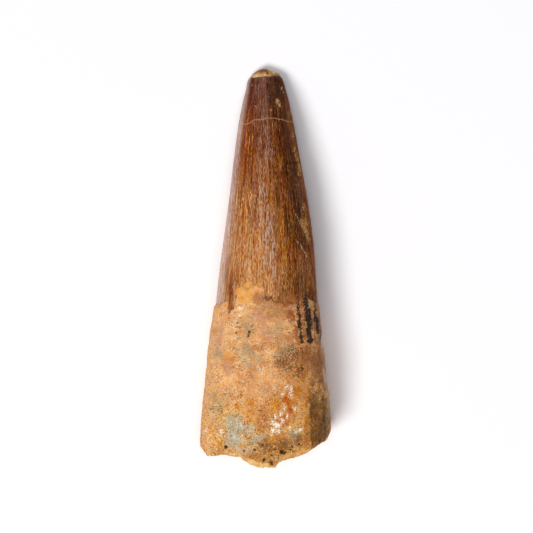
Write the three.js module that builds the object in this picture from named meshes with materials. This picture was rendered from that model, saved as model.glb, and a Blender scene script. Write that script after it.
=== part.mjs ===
// A fossil tooth of a large fish-eating theropod dinosaur: a long, nearly straight cone, oval in section,
// with a glossy enamelled crown, a duller root that is a little thicker than the crown, a worn flat tip and
// a root broken off across the pulp cavity. It is one piece, as it grew, and it lies on one broad side.
//
// Millimetres. +Y runs along the tooth towards its tip, +X across its width, and +Z up from the surface that
// it rests on. A station is a distance along the tooth from its tip. The angle round the tooth is 0 along
// the top line, 90 degrees at the right edge (+X), 180 underneath and -90 at the left edge.
import * as THREE from "three";

// Driving dimensions.
const LENGTH = 100;
const TIP_Y = LENGTH / 2;
const CROWN_LENGTH = 59.6;
const COLLAR_HEIGHT = 0.4; // how far the root stands out past the enamel's edge
const COLLAR_RUN = 1.6;
const REST_PLANE = 0;

// The outline from above, as half-widths to the left and right of the long axis: [station, half-width].
const LEFT_EDGE = [
  [1.6, 3.35], [2.7, 4.25], [5.4, 4.9], [13, 6.45], [23, 7.85], [33, 9.0], [43, 10.25],
  [53, 11.55], [59, 12.2], [68, 13.5], [78, 14.5], [88, 15.5], [100, 16.0],
];
const RIGHT_EDGE = [
  [1.6, 3.55], [2.7, 4.35], [5.4, 5.05], [13, 6.7], [23, 8.55], [33, 10.4], [43, 11.8],
  [53, 12.7], [59, 13.1], [68, 13.95], [78, 15.2], [88, 16.35], [100, 16.6],
];
// Depth over width: worn low at the tip, almost round along the crown, and flatter towards the root's end.
const DEPTH_SHARE = [
  [0, 0.42], [4, 0.68], [8, 0.87], [13, 0.93], [33, 0.93], [50, 0.94], [65, 0.88], [80, 0.82], [90, 0.77],
  [100, 0.7],
];
// Height of the underside's lowest line. Below the rest plane it is flattened to that plane.
const UNDERSIDE = [
  [0, 0.9], [4, 0.4], [20, 0.7], [30, 0.9], [40, 0.8], [56, 0.3], [64, 0.05], [92, 0.05], [100, 0.3],
];

// The broken end from above: [x, station] along its furthest line.
const BREAK_LINE = [
  [-16.6, 93.0], [-16.2, 95.2], [-15.4, 96.4], [-14.2, 97.1], [-10.6, 96.7], [-8.2, 97.0], [-6.2, 97.3],
  [-5.0, 98.5], [-3.7, 99.1], [-2.0, 99.8], [-0.7, 100], [0.8, 99.9], [2.4, 100], [3.2, 98.9], [4.4, 98.1],
  [6.2, 97.5], [7.9, 97.2], [9.4, 96.6], [10.6, 96.0], [11.6, 95.3], [13.2, 94.0], [15.2, 93.9], [15.8, 92.9],
  [16.6, 90.8],
];
const TOP_BEVEL = [0.4, 1.3]; // how far the break leans back at the top of the root, at its left and right
const BELLY_BEVEL = 1.6; // and underneath
const BREAK_ROUGHNESS = 0.35;
const PULP_SHARE = 0.56; // the pulp cavity's size over the root's
const PULP_STEP = 0.1; // the share of the root that the cavity's side takes
const PULP_DEPTH = 1.8;

// The worn tip: an uneven dome of dentine inside the enamel's rim, which is [angle, station]. Its top is off
// to the left, and it has one shallow hollow and one small pit.
const FACET_LINE = [
  [-180, 1.5], [-90, 1.5], [-66, 2.2], [-42, 2.5], [-9, 2.25], [13, 2.0], [39, 1.75], [62, 1.9], [90, 1.6],
  [180, 1.5],
];
const FACET_CENTRE = 1.7; // the station of the section whose middle the dome stands on
const FACET_SHIFT = -0.6;
const FACET_ROUNDING = { left: 1.6, right: 2.4 }; // the dome falls to its rim as this power of the share
const FACET_PITS = [
  { x: 1.4, z: 3.2, radius: 1.5, depth: 0.35 },
  { x: 0.8, z: 4.6, radius: 0.7, depth: 0.4 },
];

// Carinae, the low cutting ridges along both edges of the crown.
const CARINA = { height: 0.22, halfWidth: 6, angles: [-97, 97], from: 3, to: 56 };

// Low lumps on the root, and long shallow facets along the crown.
const ROOT_LUMPS = 0.13;
const CROWN_FACETS = 0.1;

// Scars where flakes of the surface are lost: angle and station of the middle, half-sizes in degrees and
// millimetres, depth, squareness, which gives a scar straight sides, and the share of its half-size at which
// its floor starts to rise.
const SCARS = [
  // Dark flake scar on the right of the root, and the hollow inside it.
  { angle: 70, station: 90.5, spread: 29, run: 9, depth: 0.45, square: 8, rim: 0.8 },
  { angle: 67, station: 90.5, spread: 26, run: 9.5, depth: 1.1, square: 4, rim: 0.1 },
  // Notch and spall in the right edge of the root.
  { angle: 90, station: 68.9, spread: 16, run: 1.7, depth: 0.75, square: 2, rim: 0.8 },
  { angle: 88, station: 78.6, spread: 12, run: 3.4, depth: 0.35, square: 2, rim: 0.8 },
  // Spall on the right of the crown, chips along its right carina, and lost enamel near the tip.
  { angle: 64, station: 40.2, spread: 20, run: 2.6, depth: 0.25, square: 3, rim: 0.8 },
  { angle: 76, station: 23.5, spread: 12, run: 4.2, depth: 0.22, square: 2, rim: 0.8 },
  { angle: 37, station: 8.7, spread: 13, run: 1.0, depth: 0.2, square: 2, rim: 0.8 },
  // Flakes lost underneath the root and the crown, and a chip at the left of the break.
  { angle: -148, station: 84, spread: 24, run: 8, depth: 0.5, square: 4, rim: 0.8 },
  { angle: 165, station: 33, spread: 26, run: 5, depth: 0.22, square: 3, rim: 0.8 },
  { angle: -112, station: 92, spread: 12, run: 3.5, depth: 0.6, square: 2, rim: 0.8 },
];

// The mesh: faces round the tooth, [from, to, rows] down its side, and the shares of the two end faces.
const COLUMNS = 76;
const SIDE_ROWS = [[0, 6, 5], [6, 56, 17], [56, 62, 5], [62, 90, 14], [90, LENGTH, 5]];
const BREAK_RINGS = [0, 0.2, 0.38, 0.5, 0.62, 0.72, 0.86];
const FACET_RINGS = [0.85, 0.6, 0.3, 0];
const TIP_ZONE = 6; // the rows above this station follow the worn facet's rim
const BREAK_ZONE = 84; // the rows below this one follow the break's rim

const radians = THREE.MathUtils.degToRad;
const smoothstep = THREE.MathUtils.smoothstep;

// A smooth line through [place, value] pairs, as cubic Hermite pieces whose slope at each pair is the mean
// of the slopes beside it.
function lineThrough(pairs) {
  const slope = (i) => (pairs[i + 1][1] - pairs[i][1]) / (pairs[i + 1][0] - pairs[i][0]);
  const last = pairs.length - 1;
  const tangents = pairs.map((_, i) => {
    if (i === 0) return slope(0);
    if (i === last) return slope(last - 1);
    return (slope(i - 1) + slope(i)) / 2;
  });
  return (place) => {
    const at = THREE.MathUtils.clamp(place, pairs[0][0], pairs[last][0]);
    let i = 0;
    while (i < last - 1 && at > pairs[i + 1][0]) i += 1;
    const run = pairs[i + 1][0] - pairs[i][0];
    const u = (at - pairs[i][0]) / run;
    const rise = u * u * (3 - 2 * u);
    return (
      pairs[i][1] * (1 - rise) +
      pairs[i + 1][1] * rise +
      tangents[i] * run * u * (1 - u) * (1 - u) -
      tangents[i + 1] * run * u * u * (1 - u)
    );
  };
}

// A broken line through [place, value] pairs.
function jaggedLine(pairs) {
  return (place) => {
    const at = THREE.MathUtils.clamp(place, pairs[0][0], pairs[pairs.length - 1][0]);
    let i = 0;
    while (i < pairs.length - 2 && at > pairs[i + 1][0]) i += 1;
    return THREE.MathUtils.mapLinear(at, pairs[i][0], pairs[i + 1][0], pairs[i][1], pairs[i + 1][1]);
  };
}

const leftEdge = lineThrough(LEFT_EDGE);
const rightEdge = lineThrough(RIGHT_EDGE);
const depthShare = lineThrough(DEPTH_SHARE);
const underside = lineThrough(UNDERSIDE);
const facetStation = lineThrough(FACET_LINE);
const breakLine = jaggedLine(BREAK_LINE);

// The oval section at a station: its centre, half-width and half-depth.
function sectionAt(station) {
  const halfWidth = (leftEdge(station) + rightEdge(station)) / 2;
  const halfDepth = halfWidth * depthShare(station);
  const centreX = (rightEdge(station) - leftEdge(station)) / 2;
  return { centreX, centreZ: underside(station) + halfDepth, halfWidth, halfDepth };
}

// Three crossed sine waves of about 9, 5 and 3 mm, bent by each other: low uneven lumps from -1 to 1.
function lumps(x, y, z) {
  const coarse = Math.sin(0.7 * x + 1.7 * Math.sin(0.33 * y)) * Math.cos(0.62 * y + 0.9 * Math.sin(0.5 * z));
  const middle = Math.sin(1.31 * y + 2.1 + 0.8 * Math.sin(0.9 * x)) * Math.cos(1.17 * x + 0.8 * z);
  const fine = Math.sin(2.3 * x + 0.6 * y) * Math.cos(2.1 * y - 1.6 * z + 0.4);
  return 0.5 * coarse + 0.32 * middle + 0.18 * fine;
}

// The signed angle from one direction round the tooth to another, in degrees, from -180 to 180.
const turn = (from, to) => THREE.MathUtils.euclideanModulo(to - from + 180, 360) - 180;

// How deep the scars cut at an angle and station.
function scarDepth(angle, station) {
  return Math.max(
    ...SCARS.map((scar) => {
      const across = Math.abs(turn(scar.angle, angle)) / scar.spread;
      const along = Math.abs(station - scar.station) / scar.run;
      const distance = (across ** scar.square + along ** scar.square) ** (1 / scar.square);
      return scar.depth * (1 - smoothstep(distance, scar.rim, 1.08));
    }),
  );
}

// The wavy edge of the enamel, as a station at each angle.
const enamelEdge = (angle) =>
  CROWN_LENGTH + 0.7 * Math.sin(radians(3 * angle + 40)) + 0.5 * Math.sin(radians(8 * angle));

// The relief at an angle and station, outwards from the plain oval.
function relief(angle, station, x, z) {
  const edge = enamelEdge(angle);
  const onRoot = smoothstep(station, edge - COLLAR_RUN / 2, edge + COLLAR_RUN / 2);
  const collar = COLLAR_HEIGHT * (1 - 0.3 * Math.sin(radians(angle))) * onRoot;
  const alongCrown = smoothstep(station, 2, 10) * (1 - onRoot);
  const facets = CROWN_FACETS * Math.sin(radians(9 * angle) + 0.05 * station) * alongCrown;
  const pastTip = smoothstep(station, CARINA.from, CARINA.from + 6);
  const onCarina = pastTip * (1 - smoothstep(station, CARINA.to - 8, CARINA.to));
  const carina = CARINA.angles.reduce(
    (sum, at) => sum + CARINA.height * Math.exp(-((turn(at, angle) / CARINA.halfWidth) ** 2)) * onCarina,
    0,
  );
  return collar + facets + carina + ROOT_LUMPS * lumps(x, station, z) * onRoot - scarDepth(angle, station);
}

// A point of the tooth's side, as x and z at an angle and station: the oval moved out along its own normal
// by the relief, and flattened where it meets the surface underneath.
function sidePoint(angle, station) {
  const { centreX, centreZ, halfWidth, halfDepth } = sectionAt(station);
  const sine = Math.sin(radians(angle));
  const cosine = Math.cos(radians(angle));
  const x = centreX + halfWidth * sine;
  const z = centreZ + halfDepth * cosine;
  const normal = new THREE.Vector2(halfDepth * sine, halfWidth * cosine).normalize();
  const height = relief(angle, station, x, z);
  return { x: x + height * normal.x, z: Math.max(REST_PLANE, z + height * normal.y) };
}

// The station of the broken end at a point across the root. It reaches the break line at mid-depth, and
// leans back above and below.
function breakStation(x, z) {
  const { centreZ, halfDepth } = sectionAt(LENGTH - 3);
  const up = (z - centreZ) / halfDepth;
  const topBevel = THREE.MathUtils.lerp(...TOP_BEVEL, smoothstep(x, -12, -2));
  const leanBack = topBevel * smoothstep(up, 0.62, 0.96) + BELLY_BEVEL * smoothstep(-up, 0.5, 0.96);
  const rough = BREAK_ROUGHNESS * (lumps(1.4 * x, 3, 1.4 * z) - 1);
  return breakLine(x) - leanBack + rough * smoothstep(Math.abs(up - 0.62), 0, 0.3);
}

// The side's rim at the break, at an angle.
function breakRim(angle) {
  const rough = sidePoint(angle, LENGTH - 4);
  const station = breakStation(rough.x, rough.z);
  return { station, ...sidePoint(angle, station) };
}

// A ring of the broken face, as a share of the way out to its rim: dentine round the edge, and inside it the
// sunken, stone-filled pulp cavity.
function breakPoint(angle, share) {
  const rim = breakRim(angle);
  const { centreX, centreZ } = sectionAt(LENGTH - 3);
  const x = THREE.MathUtils.lerp(centreX, rim.x, share);
  const z = THREE.MathUtils.lerp(centreZ, rim.z, share);
  const inCavity = 1 - smoothstep(share, PULP_SHARE - PULP_STEP / 2, PULP_SHARE + PULP_STEP / 2);
  const spread = smoothstep(share, 0, PULP_SHARE);
  const face = THREE.MathUtils.lerp(LENGTH - 2.2, breakStation(x, z), spread);
  return { x, z, station: face - PULP_DEPTH * inCavity };
}

// A ring of the worn tip, as a share of the way out to its rim.
function facetPoint(angle, share) {
  const rim = sidePoint(angle, facetStation(angle));
  const { centreX, centreZ } = sectionAt(FACET_CENTRE);
  const x = THREE.MathUtils.lerp(centreX + FACET_SHIFT, rim.x, share);
  const z = THREE.MathUtils.lerp(centreZ, rim.z, share);
  const hollow = FACET_PITS.reduce((sum, pit) => {
    const distance = Math.hypot(x - pit.x, z - pit.z) / pit.radius;
    return sum + pit.depth * (1 - smoothstep(distance, 0.2, 1.2));
  }, 0);
  const toRight = (1 + Math.sin(radians(angle))) / 2;
  const rounding = THREE.MathUtils.lerp(FACET_ROUNDING.left, FACET_ROUNDING.right, toRight);
  return { x, z, station: facetStation(angle) * share ** rounding + hollow };
}

// A row's nominal station, moved so that the first row is the facet's rim and the last is the break's.
function movedStation(angle, nominal) {
  if (nominal < TIP_ZONE) {
    return THREE.MathUtils.mapLinear(nominal, 0, TIP_ZONE, facetStation(angle), TIP_ZONE);
  }
  if (nominal > BREAK_ZONE) {
    return THREE.MathUtils.mapLinear(nominal, BREAK_ZONE, LENGTH, BREAK_ZONE, breakRim(angle).station);
  }
  return nominal;
}

// A profile turned round the Y axis holds the grid, with each point's share of the section as its radius and
// its nominal station as minus its height. Each of its vertices then moves to its place on the tooth.
function toothGeometry() {
  const side = [0];
  for (const [from, to, rows] of SIDE_ROWS) {
    for (let row = 1; row <= rows; row += 1) side.push(THREE.MathUtils.mapLinear(row, 0, rows, from, to));
  }
  const profile = [
    ...BREAK_RINGS.map((share) => new THREE.Vector2(share, -LENGTH)),
    ...side.reverse().map((station) => new THREE.Vector2(1, -station)),
    ...FACET_RINGS.map((share) => new THREE.Vector2(share, 0)),
  ];
  const geometry = new THREE.LatheGeometry(profile, COLUMNS);
  const place = geometry.getAttribute("position");
  const ringTolerance = 1e-4;
  for (let i = 0; i < place.count; i += 1) {
    const share = Math.hypot(place.getX(i), place.getZ(i));
    const nominal = -place.getY(i);
    const inTheMiddle = share < ringTolerance;
    const angle = inTheMiddle ? 0 : THREE.MathUtils.radToDeg(Math.atan2(place.getX(i), place.getZ(i)));
    let point;
    if (share > 1 - ringTolerance) {
      const station = movedStation(angle, nominal);
      point = { station, ...sidePoint(angle, station) };
    } else {
      point = nominal > TIP_ZONE ? breakPoint(angle, share) : facetPoint(angle, share);
    }
    place.setXYZ(i, point.x, TIP_Y - point.station, point.z);
  }
  geometry.computeVertexNormals();
  return geometry;
}

const fossil = new THREE.MeshStandardMaterial({ color: "#a5703f", roughness: 0.45, metalness: 0 });
const tooth = new THREE.Mesh(toothGeometry(), fossil);
tooth.name = "fossil_tooth";

const part = new THREE.Group();
part.name = "fossil_dinosaur_tooth";
part.add(tooth);

export default part;
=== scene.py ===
import bpy
import numpy as np
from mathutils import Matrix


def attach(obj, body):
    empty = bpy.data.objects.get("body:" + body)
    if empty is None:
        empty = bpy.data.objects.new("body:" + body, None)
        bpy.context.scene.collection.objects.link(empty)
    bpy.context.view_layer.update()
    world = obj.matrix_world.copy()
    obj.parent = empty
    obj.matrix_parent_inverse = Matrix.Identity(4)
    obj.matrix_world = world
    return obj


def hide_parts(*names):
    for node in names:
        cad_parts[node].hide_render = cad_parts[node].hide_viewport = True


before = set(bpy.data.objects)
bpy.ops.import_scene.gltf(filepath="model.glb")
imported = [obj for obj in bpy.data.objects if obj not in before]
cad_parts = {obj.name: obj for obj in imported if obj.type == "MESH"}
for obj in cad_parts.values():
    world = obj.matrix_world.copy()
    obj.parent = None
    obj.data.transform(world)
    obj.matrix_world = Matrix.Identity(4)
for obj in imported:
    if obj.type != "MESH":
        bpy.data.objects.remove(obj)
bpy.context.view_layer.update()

# The tooth as it grew: a long cone of dentine turned to stone, oval across. It lies on one broad side with
# its tip towards +Y. Enamel covers the outer three fifths, and the root stands a little proud of its edge.
#
# Lengths are in millimetres. A station is a distance from the tip. An angle runs round the tooth from its
# top line, with 90 degrees at the right edge (+X).
MM = 0.001
LENGTH = 100.0
TIP_Y = 50.0
REST_PLANE = 0.0


def line_through(pairs):
    """A smooth line through (place, value) pairs: cubic Hermite pieces, whose slope at each pair is the mean
    of the slopes beside it."""
    places, values = np.array(pairs, float).T
    slopes = np.diff(values) / np.diff(places)
    tangents = np.concatenate((slopes[:1], (slopes[1:] + slopes[:-1]) / 2, slopes[-1:]))

    def line(place):
        at = np.clip(place, places[0], places[-1])
        i = np.clip(np.searchsorted(places, at, side="right") - 1, 0, len(places) - 2)
        run = places[i + 1] - places[i]
        u = (at - places[i]) / run
        rise = u * u * (3 - 2 * u)
        bend = run * u * (1 - u) * (tangents[i] * (1 - u) - tangents[i + 1] * u)
        return values[i] * (1 - rise) + values[i + 1] * rise + bend

    return line


# The half-widths to the left and right of the long axis, the depth as a share of the width, and the height
# of the underside, each as (station, value).
left_edge = line_through([
    (1.6, 3.35), (2.7, 4.25), (5.4, 4.9), (13, 6.45), (23, 7.85), (33, 9.0), (43, 10.25),
    (53, 11.55), (59, 12.2), (68, 13.5), (78, 14.5), (88, 15.5), (100, 16.0),
])
right_edge = line_through([
    (1.6, 3.55), (2.7, 4.35), (5.4, 5.05), (13, 6.7), (23, 8.55), (33, 10.4), (43, 11.8),
    (53, 12.7), (59, 13.1), (68, 13.95), (78, 15.2), (88, 16.35), (100, 16.6),
])
depth_share = line_through([
    (0, 0.42), (4, 0.68), (8, 0.87), (13, 0.93), (33, 0.93), (50, 0.94), (65, 0.88), (80, 0.82), (90, 0.77),
    (100, 0.7),
])
underside = line_through([
    (0, 0.9), (4, 0.4), (20, 0.7), (30, 0.9), (40, 0.8), (56, 0.3), (64, 0.05), (92, 0.05), (100, 0.3),
])


def section_at(station):
    """The oval section at a station: its middle across and up, and its half-width and half-depth."""
    half_width = (left_edge(station) + right_edge(station)) / 2
    half_depth = half_width * depth_share(station)
    centre_x = (right_edge(station) - left_edge(station)) / 2
    return centre_x, underside(station) + half_depth, half_width, half_depth


# The surface of crown and root. The enamel ends in a ragged line, here as (angle, station), and the root's
# crust stands about 0.4 mm above it. The crown has two low cutting ridges, one along each edge, and long
# shallow facets and fine flutes, and the root is lumpy.
enamel_line = [
    (-180, 60.2), (-140, 58.9), (-110, 60.4), (-80, 59.8), (-62, 59.4), (-50, 58.6), (-45, 61.6),
    (-38, 60.2), (-35, 55.4), (-23, 55.6), (-14, 54.6), (-4, 54.9), (-2, 57.6), (6, 58.6), (17, 58.9),
    (29, 59.3), (38, 58.6), (44, 57.6), (52, 57.9), (68, 59.4), (95, 60.4), (120, 61.2), (150, 59.6),
    (180, 60.2),
]
EDGE_CHIPS = 0.35
EDGE_CHIP_WIDTH = 0.9
EDGE_FRINGE = 0.7
EDGE_FRINGE_WIDTH = 0.7
EDGE_FRINGE_SHRINK = 0.22  # shrinks places along the tooth, which makes the fringe's noise long
COLLAR_HEIGHT = 0.4
COLLAR_TILT = 0.3  # how much lower the step is at the right edge than at the top, as a share
COLLAR_RUN = 0.9
CROWN_RELIEF_STARTS = (2, 10)
FACET_HEIGHT = 0.1
FACET_COUNT = 9
FACET_TWIST = 0.05  # radians a millimetre
CARINA_HEIGHT = 0.22
CARINA_HALF_WIDTH = 6  # degrees
CARINA_ANGLES = (-97, 97)
CARINA_STARTS = (3, 9)
CARINA_ENDS = (48, 56)
GRAIN_RADIUS = 11.0  # one radius for the grain all along the tooth, so that its lines run straight
FLUTE_HEIGHT = 0.055
FLUTE_WIDTH = 0.8
FLUTE_SHRINK = 0.045  # as for the fringe
ROOT_LUMPS = 0.13
ROOT_GRAINS = ((0.07, 2.2, 31, 3), (0.03, 0.6, 32, 1))  # height, width, seed and octaves
BREAK_GRAINS = (0.09, 0.9, 33, 2)
NEAR_BREAK = (86, 95)  # stations between which the grains of the break rise

# Scars where flakes of the surface are lost: angle and station of the middle, half-sizes in degrees and
# millimetres, depth, squareness, which gives a scar straight sides, and the share of its half-size at which
# its floor starts to rise.
scars = {
    "dark flake scar on the right of the root": (70, 90.5, 29, 9, 0.45, 8, 0.86),
    "hollow in the dark scar": (67, 90.5, 26, 9.5, 1.1, 4, 0.1),
    "notch in the right edge": (90, 68.9, 16, 1.7, 0.75, 2, 0.86),
    "spall on the right edge of the root": (88, 78.6, 12, 3.4, 0.35, 2, 0.86),
    "spall on the right of the crown": (64, 40.2, 20, 2.6, 0.25, 3, 0.86),
    "chips along the right carina": (76, 23.5, 12, 4.2, 0.22, 2, 0.86),
    "lost enamel near the tip": (37, 8.7, 9, 0.8, 0.15, 2, 0.86),
    "flake lost underneath the root": (-148, 84, 24, 8, 0.5, 4, 0.86),
    "flake lost underneath the crown": (165, 33, 26, 5, 0.22, 3, 0.86),
    "chip at the left of the break": (-112, 92, 12, 3.5, 0.6, 2, 0.86),
}
SCAR_WOBBLE = 0.05
SCAR_END = 1.02

# Small dark pits in the root, as (across, station, radius, depth), seen from above, and the shares of a
# radius between which a pit's wall rises.
pits = [
    (-4.0, 66.1, 0.35, 0.3), (-4.2, 67.0, 0.3, 0.25), (-7.1, 66.3, 0.25, 0.25), (-6.9, 64.0, 0.25, 0.2),
    (6.0, 66.2, 0.25, 0.25), (-9.7, 94.4, 0.5, 0.5), (4.0, 95.2, 0.55, 0.5), (-0.3, 97.3, 0.4, 0.5),
    (-0.7, 93.8, 0.3, 0.3), (4.9, 95.8, 0.4, 0.4), (-2.6, 94.9, 0.35, 0.35), (2.4, 93.6, 0.3, 0.3),
    (-5.2, 95.2, 0.3, 0.3), (6.6, 94.2, 0.35, 0.4), (1.6, 96.2, 0.3, 0.3), (8.3, 93.6, 0.3, 0.3),
]
PIT_WALL = (0.2, 1.2)

# Crusts a little above the surface, as spots (across, station, half-width, half-length, lean in degrees):
# pale ochre on the enamel, grey sand on the root, and white lime.
ochre_crust = [(-3.9, 56.4, 3.2, 2.3, 0), (-1.6, 55.3, 1.2, 1.1, 0), (-5.2, 57.4, 1.5, 1.5, 0)]
sand_crust = [
    (-7.6, 89.6, 2.5, 3.2, 0), (-7.9, 92.8, 1.9, 1.6, 0), (-4.0, 90.0, 1.1, 1.5, 0),
    (-2.1, 92.4, 2.0, 0.9, -20), (6.7, 91.2, 1.5, 1.2, 0),
]
white_crust = [
    (2.8, 88.8, 0.7, 0.6, 0), (1.8, 90.3, 0.3, 0.5, 20), (5.2, 79.5, 0.3, 0.3, 0),
    (6.4, 79.9, 0.14, 0.2, 0), (6.2, 81.4, 0.12, 0.2, 0), (4.3, 81.2, 0.12, 0.16, 0),
    (7.2, 85.0, 0.2, 0.2, 0), (3.1, 90.4, 0.3, 0.25, 0), (3.7, 86.1, 0.18, 0.2, 0),
    (5.4, 86.6, 0.16, 0.16, 0), (6.1, 89.6, 0.16, 0.16, 0), (8.5, 90.1, 0.35, 0.35, 0),
    (4.2, 87.9, 0.2, 0.3, 0), (2.4, 86.8, 0.2, 0.25, 0), (1.7, 88.2, 0.16, 0.2, 0),
    (4.6, 84.6, 0.12, 0.25, 0), (7.6, 90.4, 0.16, 0.2, 0), (-10.9, 90.5, 0.18, 0.2, 0),
    (-14.9, 90.8, 0.16, 0.2, 0), (-6.1, 60.3, 0.12, 0.14, 0), (-6.3, 62.0, 0.12, 0.14, 0),
]
CRUST_HEIGHTS = (0.1, 0.2, 0.14)
CRUST_RAGGED = (0.35, 0.9, 36, 2)  # height, width, seed and octaves
CRUST_EDGE = (-0.1, 0.35)

# A hairline crack round the crown, as (across, station) over the top.
crack_line = [
    (-6.6, 14.9), (-5.6, 14.5), (-4.7, 14.5), (-4.1, 14.3), (-3.4, 13.9), (-2.9, 13.5), (-1.1, 13.4),
    (-0.2, 13.3), (0.5, 13.0), (1.4, 13.1), (2.3, 13.0), (3.4, 13.3), (4.1, 13.3), (5.5, 13.8), (7.1, 13.7),
]
CRACK_DEPTH = 0.06
CRACK_HALF_WIDTH = 0.22

NOISE_TABLE = 32
OCTAVE_SHIFT = 7.3
FAR_OUTSIDE = -4.0


def ease(value, low, high):
    """0 below low, 1 above high, and u * u * (3 - 2 * u) between them."""
    u = np.clip((value - low) / (high - low), 0, 1)
    return u * u * (3 - 2 * u)


def lumps(x, y, z):
    """Three crossed sine waves of about 9, 5 and 3 mm, bent by each other: low uneven lumps from -1 to 1."""
    coarse = np.sin(0.7 * x + 1.7 * np.sin(0.33 * y)) * np.cos(0.62 * y + 0.9 * np.sin(0.5 * z))
    middle = np.sin(1.31 * y + 2.1 + 0.8 * np.sin(0.9 * x)) * np.cos(1.17 * x + 0.8 * z)
    fine = np.sin(2.3 * x + 0.6 * y) * np.cos(2.1 * y - 1.6 * z + 0.4)
    return 0.5 * coarse + 0.32 * middle + 0.18 * fine


def rough(points, cell, seed, octaves=1):
    """Smooth noise: random values from -1 to 1 at the corners of cubes `cell` wide, joined by
    u * u * (3 - 2 * u) along each axis. Each further octave is half as wide and half as high."""
    table = np.random.default_rng(seed).uniform(-1, 1, (NOISE_TABLE,) * 3)
    total = np.zeros(points.shape[:-1])
    for octave in range(octaves):
        place = points * 2**octave / cell + OCTAVE_SHIFT * octave
        corner = np.floor(place).astype(int)
        share = place - corner
        share = share * share * (3 - 2 * share)
        for step in np.ndindex(2, 2, 2):
            weight = np.prod(np.where(step, share, 1 - share), axis=-1)
            i, j, k = np.moveaxis((corner + step) % NOISE_TABLE, -1, 0)
            total += weight * table[i, j, k] / 2**octave
    return total


def turn(start, end):
    """The signed angle from one direction round the tooth to another, from -180 to 180 degrees."""
    return (end - start + 180) % 360 - 180


def inside(x, station, spots):
    """Millimetres inside some oval spots, and negative outside, down to FAR_OUTSIDE. A share s of the way
    out from a spot's middle, a point is (1 - s) times the smaller half-size inside. The spot that it is
    deepest in counts."""
    deepest = np.full(np.broadcast(x, station).shape, FAR_OUTSIDE)
    for across, along, wide, long, lean in spots:
        cosine, sine = np.cos(np.radians(lean)), np.sin(np.radians(lean))
        over, down = x - across, station - along
        share = np.hypot((over * cosine + down * sine) / wide, (down * cosine - over * sine) / long)
        deepest = np.maximum(deepest, (1 - share) * min(wide, long))
    return deepest


def scar_depth(angle, station, wobble):
    """How deep the scars cut. For shares a across and b along, and a squareness s, a point's share of the
    way out is (a**s + b**s) ** (1 / s). The floor eases up from the rim's share to the end."""
    deepest = np.zeros(np.broadcast(angle, station).shape)
    for at, along, wide, long, depth, square, rim in scars.values():
        across = np.abs(turn(at, angle)) / wide
        share = (across**square + (np.abs(station - along) / long) ** square) ** (1 / square)
        deepest = np.maximum(deepest, depth * (1 - ease(share + SCAR_WOBBLE * wobble, rim, SCAR_END)))
    return deepest


def enamel_past(angle, station, x, z):
    """Millimetres from a place to the enamel's ragged edge, along the tooth: positive on the enamel."""
    places = np.stack((x, station * np.ones_like(x), z), axis=-1)
    shrunk = np.stack((x, EDGE_FRINGE_SHRINK * station * np.ones_like(x), z), axis=-1)
    chips = EDGE_CHIPS * rough(places, EDGE_CHIP_WIDTH, 11, 2)
    ragged = chips + EDGE_FRINGE * rough(shrunk, EDGE_FRINGE_WIDTH, 12)
    return np.interp(angle, *np.array(enamel_line, float).T) + ragged - station


def relief(angle, station, x, z):
    """Height above the plain oval: the root's step, facets, flutes and ridges on the crown, lumps and grains
    on the root, and crusts, less the pits, the crack and the scars."""
    places = np.stack((x, station * np.ones_like(x), z), axis=-1)
    round_tooth = np.radians(angle)
    grain = GRAIN_RADIUS * np.stack((np.sin(round_tooth), np.cos(round_tooth)), axis=-1)
    shrunk = FLUTE_SHRINK * station[..., None] * np.ones_like(x)[..., None]
    flutes = np.concatenate((grain, shrunk), axis=-1)
    on_root = 1 - ease(enamel_past(angle, station, x, z), -COLLAR_RUN / 2, COLLAR_RUN / 2)
    height = COLLAR_HEIGHT * (1 - COLLAR_TILT * np.sin(round_tooth)) * on_root
    on_crown = ease(station, *CROWN_RELIEF_STARTS) * (1 - on_root)
    height += FACET_HEIGHT * np.sin(FACET_COUNT * round_tooth + FACET_TWIST * station) * on_crown
    height += FLUTE_HEIGHT * rough(flutes, FLUTE_WIDTH, 21, 2) * (1 - on_root)
    on_carina = ease(station, *CARINA_STARTS) * (1 - ease(station, *CARINA_ENDS))
    for at in CARINA_ANGLES:
        height += CARINA_HEIGHT * np.exp(-((turn(at, angle) / CARINA_HALF_WIDTH) ** 2)) * on_carina
    height += ROOT_LUMPS * lumps(x, station, z) * on_root
    height += sum(high * rough(places, *cells) for high, *cells in ROOT_GRAINS) * on_root
    high, *cells = BREAK_GRAINS
    height += high * rough(places, *cells) * ease(station, *NEAR_BREAK)
    upper = z > section_at(station)[1]
    for across, along, radius, depth in pits:
        share = np.hypot(x - across, station - along) / radius
        height -= depth * (1 - ease(share, *PIT_WALL)) * upper
    high, *cells = CRUST_RAGGED
    ragged = high * rough(places, *cells)
    for spots, crust in zip((ochre_crust, sand_crust, white_crust), CRUST_HEIGHTS):
        height += crust * ease(inside(x, station, spots) + ragged, *CRUST_EDGE) * upper
    crack = np.interp(x, *np.array(crack_line, float).T)
    height -= CRACK_DEPTH * np.exp(-(((station - crack) / CRACK_HALF_WIDTH) ** 2)) * upper
    return height - scar_depth(angle, station, rough(places, 1.3, 41, 2))


def side_point(angle, station):
    """A point of the tooth's side, as x and z: the oval moved out along its own normal by the relief, and
    flattened where it meets the surface underneath."""
    centre_x, centre_z, half_width, half_depth = section_at(station)
    sine, cosine = np.sin(np.radians(angle)), np.cos(np.radians(angle))
    x, z = centre_x + half_width * sine, centre_z + half_depth * cosine
    height = relief(angle, station, x, z) / np.hypot(half_depth * sine, half_width * cosine)
    return x + height * half_depth * sine, np.maximum(REST_PLANE, z + height * half_width * cosine)


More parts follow.
